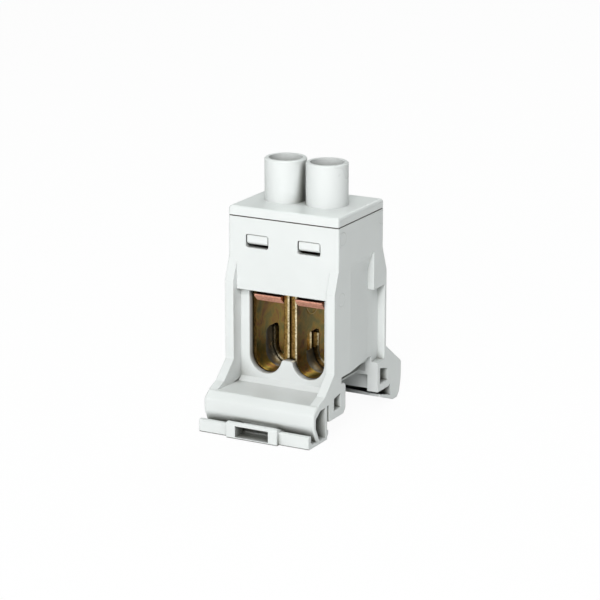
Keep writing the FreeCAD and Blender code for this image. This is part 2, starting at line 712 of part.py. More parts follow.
def cut_foot_details(body):
    cores = (("roll_core", roll_core(), S["roll_core_depth"]),
             ("saddle_core", saddle_core(), S["saddle_core_depth"]),
             ("hook_core", hook_core(), S["hook_core_depth"]))
    for side, place, back in (("right", half_width, False), ("left", -half_width, True)):
        for name, points, depth in cores:
            outline = draw(body, side + "_" + name + "_outline", "YZ_Plane", place, [points])
            pocket(body, side + "_" + name, outline, depth, reverse=back)
    inner = box_outline(S["hook_y"] - over, S["hook_inner_y"],
                        S["seat_height"] - S["hollow_drop"], base_height)
    pocket(body, "hook_hollow", draw(body, "hook_hollow_outline", "YZ_Plane", 0, [inner]),
           plate_inner * 2, symmetric=True)
    notch = [
        (-plate_inner, S["lip_tip_y"] - over),
        (-plate_inner, S["lip_tip_y"]),
        (-S["lip_notch_half"], S["lip_notch_y"]),
        (S["lip_notch_half"], S["lip_notch_y"]),
        (plate_inner, S["lip_tip_y"]),
        (plate_inner, S["lip_tip_y"] - over),
    ]
    pocket(body, "lip_notch", draw(body, "lip_notch_outline", "XY_Plane", 0, [notch]),
           S["seat_height"] - S["hollow_drop"], reverse=True)


def add_pull_bar(body):
    root = -S["roll_foot_y"] + S["bar_root_run"]
    front = -S["bar_y"]
    rear = front + S["bar_thickness"]
    edge = S["bar_edge"]
    bar = [
        (root, 0.0),
        (root, S["bar_floor"] - S["bar_root_drop"]),
        (rear + S["bar_cove"], S["bar_floor"]),
        (rear, S["bar_floor"] + S["bar_cove"]),
        (rear, S["bar_height"]),
        (front + edge, S["bar_height"]),
        (front, S["bar_height"] - edge),
        (front, edge),
        (front + edge, 0.0),
    ]
    pad(body, "pull_bar", draw(body, "pull_bar_profile", "YZ_Plane", 0, [bar]),
        body_width, symmetric=True)
    root = -S["roll_low_y"] - S["grip_root_run"]
    front = -S["grip_y"]
    grip = [
        (root, 0.0),
        (root, S["grip_height"] - S["grip_bevel"]),
        (front + S["grip_bevel"], S["grip_height"]),
        (front + S["grip_edge"], S["grip_height"]),
        (front, S["grip_height"] - S["grip_edge"]),
        (front, edge),
        (front + edge, 0.0),
    ]
    pad(body, "pull_grip", draw(body, "pull_grip_profile", "YZ_Plane", 0, [grip]),
        S["grip_width"], symmetric=True)
    slot = box_outline(-S["grip_slot_width"] / 2, S["grip_slot_width"] / 2,
                       S["grip_slot_floor"], S["grip_slot_floor"] + S["grip_slot_height"])
    outline = draw(body, "grip_slot_outline", "XZ_Plane", S["grip_y"] + 0.1, [slot])
    pocket(body, "grip_slot", outline, S["grip_slot_depth"] + 0.1)


def round_housing(body):
    reach = (window_radius.value ** 2 - S["hump_drop"].value ** 2) ** 0.5
    web = window_x.value - reach

    def hump(edge):
        box = edge.BoundBox
        flat = box.XLength < 0.02 and box.ZLength < 0.02 and box.YLength > 0.5
        return flat and near(abs(box.Center.x), web) and near(box.Center.z, hump_z.value)
    fillet(body, "hump_round", hump, S["hump_radius"])
    top = seam_height.value

    def upright(edge):
        box = edge.BoundBox
        corner = near(abs(box.Center.x), half_width.value) and near(abs(box.Center.y),
                                                                    half_depth.value)
        return corner and box.ZLength > 2 and near(box.ZMax, top)
    fillet(body, "corner_round", upright, S["corner_radius"])

    def seam(edge):
        box = edge.BoundBox
        level = near(box.ZMin, top) and near(box.ZMax, top)
        outer_x = max(abs(box.XMin), abs(box.XMax)) > half_width.value - 0.1
        outer_y = max(abs(box.YMin), abs(box.YMax)) > half_depth.value - 0.1
        return level and (outer_x or outer_y)
    chamfer(body, "seam_edge", seam, S["seam_chamfer"])


def make_housing():
    body = new_body("housing")
    add_front_roll(body)
    add_rear_foot(body)
    add_saddle(body)
    pad(body, "walls", draw(body, "side_profile", "YZ_Plane", 0, [housing_outline()]),
        body_width, symmetric=True)
    cut_shelves(body)
    base = [
        (-plate_inner, S["wall_end_height"] + 0.5),
        (-plate_inner, base_height + S["floor_chamfer_z"]),
        (-plate_inner + S["floor_chamfer_x"], base_height),
        (plate_inner - S["floor_chamfer_x"], base_height),
        (plate_inner, base_height + S["floor_chamfer_z"]),
        (plate_inner, S["wall_end_height"] + 0.5),
    ]
    pad(body, "clamp_floor", draw(body, "clamp_floor_profile", "XZ_Plane", 0, [base]),
        panel_y * 2, symmetric=True)
    web_x = half_width - S["flange_width"] + S["web_overlap"]
    web = box_outline(-web_x, web_x, base_height, S["wall_end_height"] + 0.5)
    pad(body, "panel_foot", draw(body, "panel_foot_outline", "XZ_Plane", panel_y, [web]),
        S["panel_thickness"], reverse=True)
    top = box_outline(-half_width, half_width, -half_depth, half_depth)
    pad(body, "upper_body", draw(body, "upper_body_outline", "XY_Plane",
                                 panel_height, [top]),
        seam_height - panel_height)
    cut_wells(body)
    cut_windows(body)
    cut_grip_recess(body)
    cut_foot_details(body)
    add_pull_bar(body)
    round_housing(body)
    return body


# Cover with its driver tubes, locating rim and snap fingers.

def make_cover():
    body = new_body("cover")
    plate = box_outline(-half_width, half_width, -half_depth, half_depth)
    pad(body, "plate", draw(body, "plate_outline", "XY_Plane", seam_height, [plate]),
        S["cover_thickness"])

    def upper(edge):
        return near(edge.BoundBox.ZMin, cover_top.value)

    def upright(edge):
        return edge.BoundBox.ZLength > 1.0
    fillet(body, "corner_round", upright, S["corner_radius"])
    fillet(body, "upper_round", upper, S["cover_radius"])

    def lower(edge):
        return near(edge.BoundBox.ZMax, seam_height.value)
    chamfer(body, "seam_edge", lower, S["seam_chamfer"])
    pair = [(-clamp_x, 0, S["tube_radius"]), (clamp_x, 0, S["tube_radius"])]
    tube_low = seam_height + S["cover_thickness"] / 2
    pad(body, "tubes", draw(body, "tube_outline", "XY_Plane", tube_low, circles=pair),
        tube_top - tube_low)

    def rim(edge):
        return near(edge.BoundBox.ZMin, tube_top.value)
    chamfer(body, "tube_rim_edge", rim, S["tube_rim_chamfer"])

    outer_x = cavity_x - S["rim_play"]
    outer_y = cavity_y - S["rim_play"]
    inner_x = outer_x - S["rim_thickness"]
    inner_y = outer_y - S["rim_thickness"]
    ring = [box_outline(-outer_x, outer_x, -outer_y, outer_y),
            box_outline(-inner_x, inner_x, -inner_y, inner_y)]
    pad(body, "locating_rim", draw(body, "rim_outline", "XY_Plane", seam_height, ring),
        S["rim_height"], reverse=True)

    barb_half = S["latch_width"] / 2 - S["latch_play"]
    right = box_outline(latch_x - barb_half, latch_x + barb_half,
                        outer_y - S["finger_thickness"], outer_y)
    front = [(across, -along) for across, along in right]
    rear_left = mirror_outline(right)
    front_left = mirror_outline(front)
    barb_top = latch_high - S["barb_gap"]
    barb_low = barb_top - S["barb_height"]
    fingers = draw(body, "finger_outline", "XY_Plane", seam_height,
                   [right, front, rear_left, front_left])
    pad(body, "snap_fingers", fingers, seam_height - barb_low, reverse=True)
    rear_barb = [
        (outer_y - join, barb_low),
        (outer_y + S["barb_depth"] - S["barb_lead"], barb_low),
        (outer_y + S["barb_depth"], barb_low + S["barb_lead"]),
        (outer_y + S["barb_depth"], barb_top - S["barb_edge"]),
        (outer_y + S["barb_depth"] - S["barb_edge"], barb_top),
        (outer_y - join, barb_top),
    ]
    for side, name in ((1.0, "right"), (-1.0, "left")):
        outline = draw(body, name + "_barb_profile", "YZ_Plane", latch_x * side,
                       [rear_barb, mirror_outline(rear_barb)])
        pad(body, name + "_barbs", outline, barb_half * 2, symmetric=True)
    wide = [(-clamp_x, 0, S["tube_bore"]), (clamp_x, 0, S["tube_bore"])]
    narrow = [(-clamp_x, 0, S["keeper_radius"]), (clamp_x, 0, S["keeper_radius"])]
    pocket(body, "driver_guides", draw(body, "guide_outline", "XY_Plane", tube_top,
                                       circles=wide), S["guide_height"])
    room_top = head_low + S["head_height"] + S["keeper_gap"]
    rooms = draw(body, "head_room_outline", "XY_Plane", room_top, circles=wide)
    pocket(body, "head_rooms", rooms, room_top - seam_height + over)
    keepers = draw(body, "keeper_outline", "XY_Plane", tube_top, circles=narrow)
    pocket(body, "keeper_holes", keepers, tube_top - room_top + over)
    return body


# Copper contact bar: two tongues through the cages, joined by an upright yoke.

def make_contact_bar():
    body = new_body("contact_bar")
    right = box_outline(clamp_x - tongue_half, clamp_x + tongue_half,
                        -S["tongue_front_y"], yoke_y + join)
    tongues = draw(body, "tongue_outline", "XY_Plane", S["bar_low"],
                   [right, mirror_outline(right)])
    pad(body, "tongues", tongues, S["strip_thickness"])
    outer = clamp_x + tongue_half
    inner = clamp_x - tongue_half
    end = cavity_x - S["yoke_side_play"]
    yoke = [
        (-outer, S["bar_low"]), (-inner, S["bar_low"]), (-inner, cavity_low),
        (inner, cavity_low), (inner, S["bar_low"]), (outer, S["bar_low"]),
        (outer, cavity_low), (end, cavity_low), (end, yoke_top),
        (-end, yoke_top), (-end, cavity_low), (-outer, cavity_low),
    ]
    pad(body, "yoke", draw(body, "yoke_outline", "XZ_Plane", -yoke_y, [yoke]),
        S["strip_thickness"], reverse=True)
    front = -S["tongue_front_y"].value

    def front_edge(edge):
        box = edge.BoundBox
        return near(box.YMin, front) and near(box.YMax, front) and box.ZLength > 1.0
    fillet(body, "tongue_corners", front_edge, S["tongue_round"])
    fillet(body, "bend_round", along_x_at(yoke_y + S["strip_thickness"], S["bar_low"]),
           S["bend_radius"])
    tip = -S["tongue_front_y"]
    bevel = [
        (tip - over, S["bar_low"] - over),
        (tip + S["tongue_bevel_run"], S["bar_low"] - over),
        (tip + S["tongue_bevel_run"], S["bar_low"]),
        (tip, S["bar_low"] + S["tongue_bevel_rise"]),
        (tip - over, S["bar_low"] + S["tongue_bevel_rise"]),
    ]
    pocket(body, "tongue_bevel", draw(body, "bevel_profile", "YZ_Plane", 0, [bevel]),
           body_width, symmetric=True)
    return body


# Clamp cage: a strap around the conductor, its two ends lapped above and tapped.

def make_cage(name, side):
    body = new_body(name)
    bottom = draw(body, "strap_bottom", "XZ_Plane", 0, circles=[(0, cage_centre_z, cage_outer)])
    pad(body, "strap_round", bottom, S["cage_depth"], symmetric=True)
    walls = box_outline(-cage_outer, cage_outer, cage_centre_z, cage_top_z)
    pad(body, "strap_walls", draw(body, "strap_outline", "XZ_Plane", 0, [walls]),
        S["cage_depth"], symmetric=True)
    top = cage_top_z.value

    def upper(edge):
        box = edge.BoundBox
        return near(box.ZMin, top) and near(box.ZMax, top) and box.XLength < 0.02
    fillet(body, "bend_rounds", upper, S["cage_wall"])
    inside = draw(body, "inside_bottom", "XZ_Plane", 0, circles=[(0, cage_centre_z, cage_inner)])
    pocket(body, "inside_round", inside, S["cage_depth"] + over, symmetric=True)
    room = box_outline(-cage_inner, cage_inner, cage_centre_z, cage_head_z)
    pocket(body, "inside_walls", draw(body, "inside_outline", "XZ_Plane", 0, [room]),
           S["cage_depth"] + over, symmetric=True)
    half = S["cage_slot_width"] / 2
    radius = S["cage_slot_radius"]
    low = S["cage_floor_z"] - S["cage_wall"] - over
    high = S["cage_slot_top"]
    corner = radius * 0.3
    slot = [
        (-half, low),
        (half, low),
        (half, high - radius),
        (half - corner, high - corner),
        (half - radius, high),
        (-half + radius, high),
        (-half + corner, high - corner),
        (-half, high - radius),
    ]
    pocket(body, "long_slot", draw(body, "slot_outline", "YZ_Plane", 0, [slot]),
           cage_outer * 2 + over, symmetric=True)
    thread = draw(body, "thread_outline", "XY_Plane", cage_top_z + join,
                  circles=[(0, 0, S["screw_radius"] + S["thread_play"])])
    pocket(body, "thread_hole", thread, S["cage_wall"] * 2 + join * 2)
    bind(body, "Placement.Base.x", clamp_x * side)
    return body


# Clamping screw: turned in its tube, its tip on the contact bar.

def make_screw(name, side):
    body = new_body(name)
    tip = tongue_top + S["tip_gap"]
    head_top = head_low + S["head_height"]
    profile = [
        (0, tip),
        (S["screw_radius"] - S["tip_chamfer"], tip),
        (S["screw_radius"], tip + S["tip_chamfer"]),
        (S["screw_radius"], head_low),
        (head_radius, head_low),
        (head_radius, head_top - S["head_chamfer"]),
        (head_radius - S["head_chamfer"], head_top),
        (0, head_top),
    ]
    revolve(body, "turned", draw(body, "turned_profile", "XZ_Plane", 0, [profile]), "Z_Axis")
    half = S["head_slot_width"] / 2
    slot = box_outline(-half, half, head_top - S["head_slot_depth"], head_top + over)
    pocket(body, "driver_slot", draw(body, "driver_slot_outline", "YZ_Plane", 0, [slot]),
           head_radius * 2 + over, symmetric=True)
    bind(body, "Placement.Base.x", clamp_x * side)
    return body


bodies = [
    make_housing(),
    make_cover(),
    make_contact_bar(),
    make_cage("clamp_cage_left", -1.0),
    make_cage("clamp_cage_right", 1.0),
    make_screw("clamp_screw_left", -1.0),
    make_screw("clamp_screw_right", 1.0),
]
for body in bodies:
    bind(body, "Placement.Base.y", centre_y)
doc.recompute()

for feature in doc.Objects:
    if "Invalid" in feature.State or "Error" in feature.State:
        raise ValueError("%s is invalid" % feature.Label)
for body in bodies:
    shape = body.Shape
    if shape.isNull() or not shape.isValid():
        raise ValueError("%s has no valid shape" % body.Label)
    box = shape.BoundBox
    print("%-18s solids %d volume %9.1f  x %.2f %.2f  y %.2f %.2f  z %.2f %.2f" % (
        body.Label, len(shape.Solids), shape.Volume, box.XMin, box.XMax,
        box.YMin, box.YMax, box.ZMin, box.ZMax))
    shape.exportStep("parts/%s.step" % body.Label)
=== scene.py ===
import math

import bmesh
import bpy
from mathutils import Matrix, Vector


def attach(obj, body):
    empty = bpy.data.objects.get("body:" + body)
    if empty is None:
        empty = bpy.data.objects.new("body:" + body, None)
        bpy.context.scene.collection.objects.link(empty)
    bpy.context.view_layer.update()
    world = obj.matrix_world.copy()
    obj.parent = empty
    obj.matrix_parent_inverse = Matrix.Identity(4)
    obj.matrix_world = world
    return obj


# Main-branch terminal on a plain pale floor. Metres, +Z up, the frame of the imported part.

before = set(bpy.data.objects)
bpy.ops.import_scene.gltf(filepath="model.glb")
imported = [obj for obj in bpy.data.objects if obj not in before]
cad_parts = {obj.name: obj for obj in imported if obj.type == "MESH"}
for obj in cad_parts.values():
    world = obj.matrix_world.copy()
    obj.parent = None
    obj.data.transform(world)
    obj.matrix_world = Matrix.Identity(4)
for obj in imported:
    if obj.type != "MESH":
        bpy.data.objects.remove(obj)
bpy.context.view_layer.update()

MM = 0.001
WHITE = (1.0, 1.0, 1.0, 1.0)

# Places on the part. Both clamps are centred on CENTRE_Y, at CLAMP_X to either side.
CENTRE_Y = 2.8 * MM
CLAMP_X = 5.9 * MM
SEAM_Z = 52.8 * MM
SEAM_REACH = 0.3 * MM

# The bent strap of a cage: inner radius, thickness and the height of the bend's centre.
CAGE_INNER = 3.97 * MM
CAGE_WALL = 1.7 * MM
CAGE_CENTRE_Z = 15.87 * MM
PRESSED_TAB_RADIUS = 3.75 * MM
PRESSED_TAB_Z = 30.05 * MM

# The screw's thread.
THREAD_LOW_Z = 33.3 * MM
THREAD_TOP_Z = 50.5 * MM
THREAD_PITCH = 1.0 * MM

# The clamp wells, where shade is painted into the plastic; the last two are distances from
# their middle.
WELL_HALF_WIDTH = 12.0 * MM
WELL_LOW_Z = 9.6 * MM
WELL_TOP_Z = 46.0 * MM
WELL_MOUTH = 10.4 * MM
WELL_DARK = 8.6 * MM

# Rings of the mould's ejector pins on the side walls, and the skin over a core in the foot.
PIN_MARK_RADIUS = 1.7 * MM
PIN_MARKS_YZ_MM = ((-7.4, 49.6), (13.85, 50.6), (-7.9, 34.1))
SKIN_X_MM = (9.3, 13.25)
SKIN_PROFILE_YZ_MM = ((-12.1, 9.53), (-9.1, 9.42), (-7.95, 10.33), (-7.95, 9.95), (-9.1, 9.0),
                      (-12.1, 9.1))

# The camera of the photograph.
VIEW_AZIMUTH = math.radians(28.249)
VIEW_ELEVATION = math.radians(15.747)
VIEW_DISTANCE = 0.650
VIEW_AIM_Z = 29.48 * MM
VIEW_AIM_LEFT = 1.623 * MM
LENS_MM = 153.0
SENSOR_MM = 36.0

# Softboxes: name, place, width, watts, colour.
LAMP_AIM = (0.0, 0.0, 0.03)
LAMPS = (
    ("key_softbox", (0.37, -0.81, 0.68), 0.45, 7.5, (1.0, 1.0, 1.0)),
    ("front_softbox", (0.10, -1.0, 0.30), 0.45, 3.9, (1.0, 1.0, 1.0)),
    ("rear_softbox", (-0.05, 0.85, 0.85), 0.4, 2.6, (1.0, 1.0, 1.0)),
    ("top_softbox", (-0.1, 0.1, 1.0), 0.7, 4.2, (0.92, 1.0, 0.96)),
)

MULTIPLY = {"blend_type": "MULTIPLY", "Fac": 1.0}


def linear(code):
    """An sRGB hex colour as linear red, green, blue and full alpha."""
    parts = []
    for start in (1, 3, 5):
        level = int(code[start:start + 2], 16) / 255
        parts.append(level / 12.92 if level <= 0.04045 else ((level + 0.055) / 1.055) ** 2.4)
    return (*parts, 1.0)


def repeats(size_mm):
    """Scale of a pattern whose patches or grains are about this wide."""
    return 1.0 / (size_mm * MM)


def set_stops(elements, stops):
    """Fills a colour ramp. Each stop is a place with a hex colour or a grey level."""
    while len(elements) < len(stops):
        elements.new(0.5)
    for element, (place, colour) in zip(elements, stops):
        element.position = place
        element.color = linear(colour) if isinstance(colour, str) else (colour,) * 3 + (1.0,)


def add(tree, kind, settings=None, **links):
    """Adds a node. Settings are its properties, socket values or stops. A link names the
    socket that it feeds, or numbers it, as in i0."""
    node = tree.nodes.new("ShaderNode" + kind)
    for name, value in (settings or {}).items():
        if name == "stops":
            set_stops(node.color_ramp.elements, value)
        elif isinstance(name, int) or not hasattr(node, name):
            node.inputs[name].default_value = value
        else:
            setattr(node, name, value)
    for name, source in links.items():
        numbered = name[0] == "i" and name[1:].isdigit()
        socket = node.inputs[int(name[1:]) if numbered else name.replace("_", " ")]
        if isinstance(source, bpy.types.Node):
            source = source.outputs[0]
        tree.links.new(source, socket)
    return node


def new_material(name):
    made = bpy.data.materials.new(name)
    made.use_nodes = True
    made.node_tree.nodes.clear()
    return made, made.node_tree


def between(tree, height, low, high):
    """1 between two heights, 0 outside them."""
    above = add(tree, "Math", {"operation": "GREATER_THAN", 1: low}, i0=height)
    under = add(tree, "Math", {"operation": "LESS_THAN", 1: high}, i0=height)
    return add(tree, "Math", {"operation": "MULTIPLY"}, i0=above, i1=under)


def below_only(tree, height, level):
    """Height under a level, and 0 above it."""
    below = add(tree, "Math", {"operation": "SUBTRACT", 1: level}, i0=height)
    return add(tree, "Math", {"operation": "MINIMUM", 1: 0.0}, i0=below)


def reach(tree, across, along):
    """Distance from the point where both measures are 0."""
    spot = add(tree, "CombineXYZ", X=across, Y=along)
    return add(tree, "VectorMath", {"operation": "LENGTH"}, i0=spot).outputs["Value"]


def outline_height(tree, across, along, radius, half_width):
    """A thin ridge that runs at one distance from a point, 1 at its crest."""
    apart = add(tree, "Math", {"operation": "SUBTRACT", 1: radius},
                i0=reach(tree, across, along))
    apart = add(tree, "Math", {"operation": "ABSOLUTE"}, i0=apart)
    return add(tree, "MapRange", {1: 0.0, 2: half_width, 3: 1.0, 4: 0.0}, Value=apart)


def painted_cavity_shade(tree, reach_mm, stops):
    """Painted shade: how open a place is to the room, so that deep cores and wells are
    darkened in the colour.
    """
    around = add(tree, "AmbientOcclusion", {"samples": 8, "Distance": reach_mm * MM})
    return add(tree, "ValToRGB", {"stops": stops}, Fac=around.outputs["AO"])


def seam_shadow(tree, height):
    """Painted shadow: the thin dark line where the lid sits on the body."""
    apart = add(tree, "Math", {"operation": "SUBTRACT", 1: SEAM_Z}, i0=height)
    apart = add(tree, "Math", {"operation": "ABSOLUTE"}, i0=apart)
    share = add(tree, "Math", {"operation": "DIVIDE", 1: SEAM_REACH}, i0=apart)
    return add(tree, "ValToRGB", {"stops": [(0.0, "#3a3029"), (0.30, "#4b4038"),
                                            (0.62, "#ffffff")]}, Fac=share)


def pin_marks(tree, point, facing):
    """Rings that the mould's ejector pins leave on the side walls."""
    total = None
    for y, z in PIN_MARKS_YZ_MM:
        across = add(tree, "Math", {"operation": "SUBTRACT", 1: y * MM}, i0=point.outputs["Y"])
        along = add(tree, "Math", {"operation": "SUBTRACT", 1: z * MM}, i0=point.outputs["Z"])
        ring = outline_height(tree, across, along, PIN_MARK_RADIUS, 0.22 * MM)
        total = ring if total is None else add(tree, "Math", {"operation": "ADD"}, i0=total,
                                               i1=ring)
    side = add(tree, "Math", {"operation": "ABSOLUTE"}, i0=facing.outputs["X"])
    side = add(tree, "Math", {"operation": "GREATER_THAN", 1: 0.9}, i0=side)
    return add(tree, "Math", {"operation": "MULTIPLY"}, i0=total, i1=side)


def painted_well_shade(tree, point):
    """Painted shade in the clamp wells: 0 at their mouth, 1 where hardly any light comes in.
    """
    across = add(tree, "Math", {"operation": "ABSOLUTE"}, i0=point.outputs["X"])
    inside = add(tree, "Math", {"operation": "LESS_THAN", 1: WELL_HALF_WIDTH}, i0=across)
    away = add(tree, "Math", {"operation": "SUBTRACT", 1: CENTRE_Y}, i0=point.outputs["Y"])
    away = add(tree, "Math", {"operation": "ABSOLUTE"}, i0=away)
    depth = add(tree, "MapRange", {1: WELL_MOUTH, 2: WELL_DARK, 3: 0.0, 4: 1.0}, Value=away)
    share = add(tree, "Math", {"operation": "MULTIPLY"}, i0=inside, i1=depth)
    return add(tree, "Math", {"operation": "MULTIPLY"}, i0=share,
               i1=between(tree, point.outputs["Z"], WELL_LOW_Z, WELL_TOP_Z))


def moulded_polyamide(name, colour, shade, edge_mm):
    """Light grey polyamide, moulded in a spark-eroded tool: satin, finely grained, with
    faint flow marks and slightly rounded edges. Its colour also carries painted shade:
    darker in cavities and corners, deep in the clamp wells and along the lid seam."""
    made, tree = new_material(name)
    coords = add(tree, "TexCoord")
    place = coords.outputs["Object"]
    point = add(tree, "SeparateXYZ", Vector=place)
    facing = add(tree, "SeparateXYZ", Vector=coords.outputs["Normal"])

    cloud = add(tree, "TexNoise", {"Scale": repeats(14.3), "Detail": 3.0, "Roughness": 0.5},
                Vector=place)
    tone_and_painted_shade = add(tree, "ValToRGB", {"stops": [(0.25, shade), (0.75, colour)]}, Fac=cloud)
    # Painted shade: the colour darkens in cavities and corners, where less light reaches.
    deep = painted_cavity_shade(tree, 9.0, [(0.02, "#1c1b17"), (0.22, "#86867e"), (0.46, "#ffffff")])
    # Painted shade: the plastic darkens deep inside the clamp wells.
    dark = add(tree, "ValToRGB", {"stops": [(0.0, "#ffffff"), (1.0, "#46453d")]},
               Fac=painted_well_shade(tree, point))
    # The painted shade of cavities, wells and seam is multiplied into the colour.
    for shading in (deep, dark, seam_shadow(tree, point.outputs["Z"])):
        tone_and_painted_shade = add(tree, "MixRGB", MULTIPLY, Color1=tone_and_painted_shade, Color2=shading)

    # The real grain is near 0.05 mm. It is drawn coarser, so that it shows at all.
    grain = add(tree, "TexNoise", {"Scale": repeats(0.192), "Detail": 3.0, "Roughness": 0.6},
                Vector=place)
    waves = add(tree, "TexNoise", {"Scale": repeats(4.55), "Detail": 1.0}, Vector=place)
    rounded = add(tree, "Bevel", {"samples": 6, "Radius": edge_mm * MM})
    soft = add(tree, "Bump", {"Strength": 0.05, "Distance": 0.2 * MM}, Height=waves,
               Normal=rounded)
    marks = add(tree, "Bump", {"Strength": 0.6, "Distance": 0.16 * MM},
                Height=pin_marks(tree, point, facing), Normal=soft)
    rough = add(tree, "Bump", {"Strength": 0.12, "Distance": 0.02 * MM}, Height=grain,
                Normal=marks)
    gloss = add(tree, "ValToRGB", {"stops": [(0.3, 0.27), (0.7, 0.35)]}, Fac=cloud)
    shader = add(tree, "BsdfPrincipled", {"IOR": 1.5, "Metallic": 0.0}, Base_Color=tone_and_painted_shade,
                 Roughness=gloss, Normal=rough)
    add(tree, "OutputMaterial", Surface=shader)
    return made


def strap_depth(tree, point, centre_x):
    """0 at the inner face of the bent strap, 1 at its outer face."""
    across = add(tree, "Math", {"operation": "SUBTRACT", 1: centre_x}, i0=point.outputs["X"])
    below = below_only(tree, point.outputs["Z"], CAGE_CENTRE_Z)
    return add(tree, "MapRange", {1: CAGE_INNER, 2: CAGE_INNER + CAGE_WALL},
               Value=reach(tree, across, below))


def pressed_tab(tree, point, centre_x, tab_left):
    """Outline of the tab that is pressed out of one wall of the strap."""
    across = add(tree, "Math", {"operation": "SUBTRACT", 1: CENTRE_Y}, i0=point.outputs["Y"])
    below = below_only(tree, point.outputs["Z"], PRESSED_TAB_Z)
    line = outline_height(tree, across, below, PRESSED_TAB_RADIUS, 0.3 * MM)
    side = "LESS_THAN" if tab_left else "GREATER_THAN"
    wall = add(tree, "Math", {"operation": side, 1: centre_x}, i0=point.outputs["X"])
    return add(tree, "Math", {"operation": "MULTIPLY"}, i0=line, i1=wall)


def yellow_passivated_steel(name, centre_x, turned_round):
    """Stamped strap, yellow passivated: a patchy gold to olive film over rolled steel.
    Its cut edges show a bright sheared band beside a coarse torn one; the band's near-white
    brightness is partly a painted highlight. The film is darkened by painted shade where the
    strap is sheltered, and a painted highlight follows the outline of the pressed tab."""
    made, tree = new_material(name)
    coords = add(tree, "TexCoord")
    place = coords.outputs["Object"]
    point = add(tree, "SeparateXYZ", Vector=place)
    facing = add(tree, "SeparateXYZ", Vector=coords.outputs["Normal"]).outputs["Y"]

    patches = add(tree, "TexNoise", {"Scale": repeats(3.85), "Detail": 4.0, "Roughness": 0.6,
                                     "Distortion": 0.4}, Vector=place)
    film = add(tree, "ValToRGB", {"stops": [(0.28, "#6e6c2a"), (0.42, "#8c8032"),
                                            (0.52, "#ae9033"), (0.60, "#9c7038"),
                                            (0.72, "#666e38")]}, Fac=patches)
    # Painted shade: the film's colour is darkened by how sheltered the strap is from the room.
    deep = painted_cavity_shade(tree, 14.0, [(0.05, "#fff4c0"), (0.3, "#c0b288"), (0.7, "#fff8e8")])
    film = add(tree, "MixRGB", MULTIPLY, Color1=film, Color2=deep)
    tab = pressed_tab(tree, point, centre_x, turned_round)
    # Painted highlight: the film is lightened to gold along the outline of the pressed tab.
    tab_highlight = add(tree, "Math", {"operation": "MULTIPLY", 1: 0.7}, i0=tab)
    film = add(tree, "MixRGB", {"Color2": linear("#c09a48")}, Fac=tab_highlight, Color1=film)

    # The punch goes in from one face, so the bands lie the other way round on the other cage.
    # The bright band is also laid where the edges catch the light, as a painted highlight.
    depth = strap_depth(tree, point, centre_x)
    from_outside = add(tree, "Math", {"operation": "SUBTRACT", 0: 1.0}, i1=depth)
    front = add(tree, "Math", {"operation": "LESS_THAN", 1: 0.0}, i0=facing)
    ends = (depth, from_outside) if turned_round else (from_outside, depth)
    across_cut = add(tree, "Mix", {"data_type": "FLOAT"}, i0=front, i2=ends[0], i3=ends[1])
    # Near white at the sheared band: brighter than bare steel, partly a painted highlight of
    # light on the edge.
    cut = add(tree, "ValToRGB", {"stops": [(0.0, "#4a3a24"), (0.08, "#8c6c3c"),
                                           (0.50, "#a4844a"), (0.62, "#b89a5a"),
                                           (0.70, "#fff4d8"), (0.90, "#ffeec4"),
                                           (0.97, "#6b5430")]}, Fac=across_cut)
    crumbs = add(tree, "TexNoise", {"Scale": repeats(0.385), "Detail": 3.0, "Roughness": 0.7},
                 Vector=place)
    pits = add(tree, "ValToRGB", {"stops": [(0.35, "#8a7f70"), (0.6, "#ffffff")]}, Fac=crumbs)
    cut = add(tree, "MixRGB", MULTIPLY, Color1=cut, Color2=pits)
    steep = add(tree, "Math", {"operation": "ABSOLUTE"}, i0=facing)
    is_cut = add(tree, "Math", {"operation": "GREATER_THAN", 1: 0.7}, i0=steep)
    colour = add(tree, "MixRGB", Fac=is_cut, Color1=film, Color2=cut)

    along_strap = (repeats(0.25), repeats(3.33), repeats(0.25))
    stretch = add(tree, "Mapping", {"Scale": along_strap}, Vector=place)
    lines = add(tree, "TexNoise", {"Scale": 1.0, "Detail": 2.0}, Vector=stretch)
    rounded = add(tree, "Bevel", {"samples": 6, "Radius": 0.15 * MM})
    rolled = add(tree, "Bump", {"Strength": 0.15, "Distance": 0.02 * MM}, Height=lines,
                 Normal=rounded)
    raised = add(tree, "Bump", {"Strength": 0.8, "Distance": 0.15 * MM}, Height=tab,
                 Normal=rolled)
    torn = add(tree, "Bump", {"Strength": 0.3, "Distance": 0.04 * MM}, Height=crumbs,
               Normal=raised)
    gloss = add(tree, "ValToRGB", {"stops": [(0.3, 0.34), (0.7, 0.46)]}, Fac=patches)
    polish = add(tree, "Mix", {"data_type": "FLOAT", 3: 0.22}, i0=is_cut, i2=gloss)
    shader = add(tree, "BsdfPrincipled", {"Metallic": 1.0}, Base_Color=colour,
                 Roughness=polish, Normal=torn)
    add(tree, "OutputMaterial", Surface=shader)
    return made


